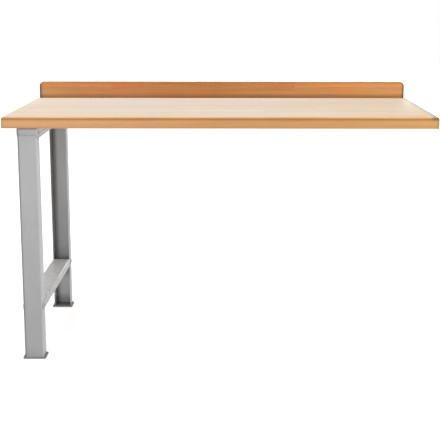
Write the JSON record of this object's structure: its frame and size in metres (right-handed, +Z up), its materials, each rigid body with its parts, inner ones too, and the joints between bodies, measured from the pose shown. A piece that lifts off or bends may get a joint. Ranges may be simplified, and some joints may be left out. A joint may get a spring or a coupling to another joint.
{
  "type": "workbench extension unit",
  "caption": "Beech workbench extension with a rear upstand on a grey folded-steel leg frame at its left end; the free right end bolts onto a neighbouring bench frame.",
  "frame": {"origin": "on the floor, under the middle of the overall box", "axes": "+X along the worktop from the leg frame towards the free end, +Y from the front edge towards the upstand, +Z up"},
  "size_m": [1.5, 0.7002, 0.935],
  "materials": {
    "beech_worktop": "clear satin lacquer on glued beech staves",
    "beech_upstand": "clear satin lacquer on steamed beech",
    "grey_paint": "light grey powder coat, fine texture",
    "dark_grey_paint": "dark grey powder coat",
    "zinc_steel": "bright zinc plate",
    "brass": "turned"
  },
  "bodies": {
    "root": {"backstop": "beech_upstand", "backstop_screw_1": "zinc_steel", "backstop_screw_2": "zinc_steel", "backstop_screw_3": "zinc_steel", "backstop_screw_4": "zinc_steel", "backstop_screw_5": "zinc_steel", "backstop_screw_6": "zinc_steel", "beam_bolt_front_1_left": "grey_paint", "beam_bolt_front_1_right": "grey_paint", "beam_bolt_front_2_left": "grey_paint", "beam_bolt_front_2_right": "grey_paint", "beam_bolt_rear_1_left": "grey_paint", "beam_bolt_rear_1_right": "grey_paint", "beam_bolt_rear_2_left": "grey_paint", "beam_bolt_rear_2_right": "grey_paint", "beam_nut_front_1_left": "zinc_steel", "beam_nut_front_1_right": "zinc_steel", "beam_nut_front_2_left": "zinc_steel", "beam_nut_front_2_right": "zinc_steel", "beam_nut_rear_1_left": "zinc_steel", "beam_nut_rear_1_right": "zinc_steel", "beam_nut_rear_2_left": "zinc_steel", "beam_nut_rear_2_right": "zinc_steel", "cross_beam": "grey_paint", "front_foot_plate": "dark_grey_paint", "front_leg": "grey_paint", "left_insert_1": "brass", "left_insert_2": "brass", "left_insert_3": "brass", "left_insert_4": "brass", "rail_bolt_front_left": "grey_paint", "rail_bolt_front_right": "grey_paint", "rail_bolt_rear_left": "grey_paint", "rail_bolt_rear_right": "grey_paint", "rail_nut_front_left": "zinc_steel", "rail_nut_front_right": "zinc_steel", "rail_nut_rear_left": "zinc_steel", "rail_nut_rear_right": "zinc_steel", "rear_foot_plate": "dark_grey_paint", "rear_leg": "grey_paint", "right_insert_1": "brass", "right_insert_2": "brass", "right_insert_3": "brass", "right_insert_4": "brass", "top_bolt_1": "zinc_steel", "top_bolt_2": "zinc_steel", "top_bolt_3": "zinc_steel", "top_bolt_4": "zinc_steel", "top_rail": "grey_paint", "top_washer_1": "zinc_steel", "top_washer_2": "zinc_steel", "top_washer_3": "zinc_steel", "top_washer_4": "zinc_steel", "worktop": "beech_worktop"}
  },
  "joints": []
}
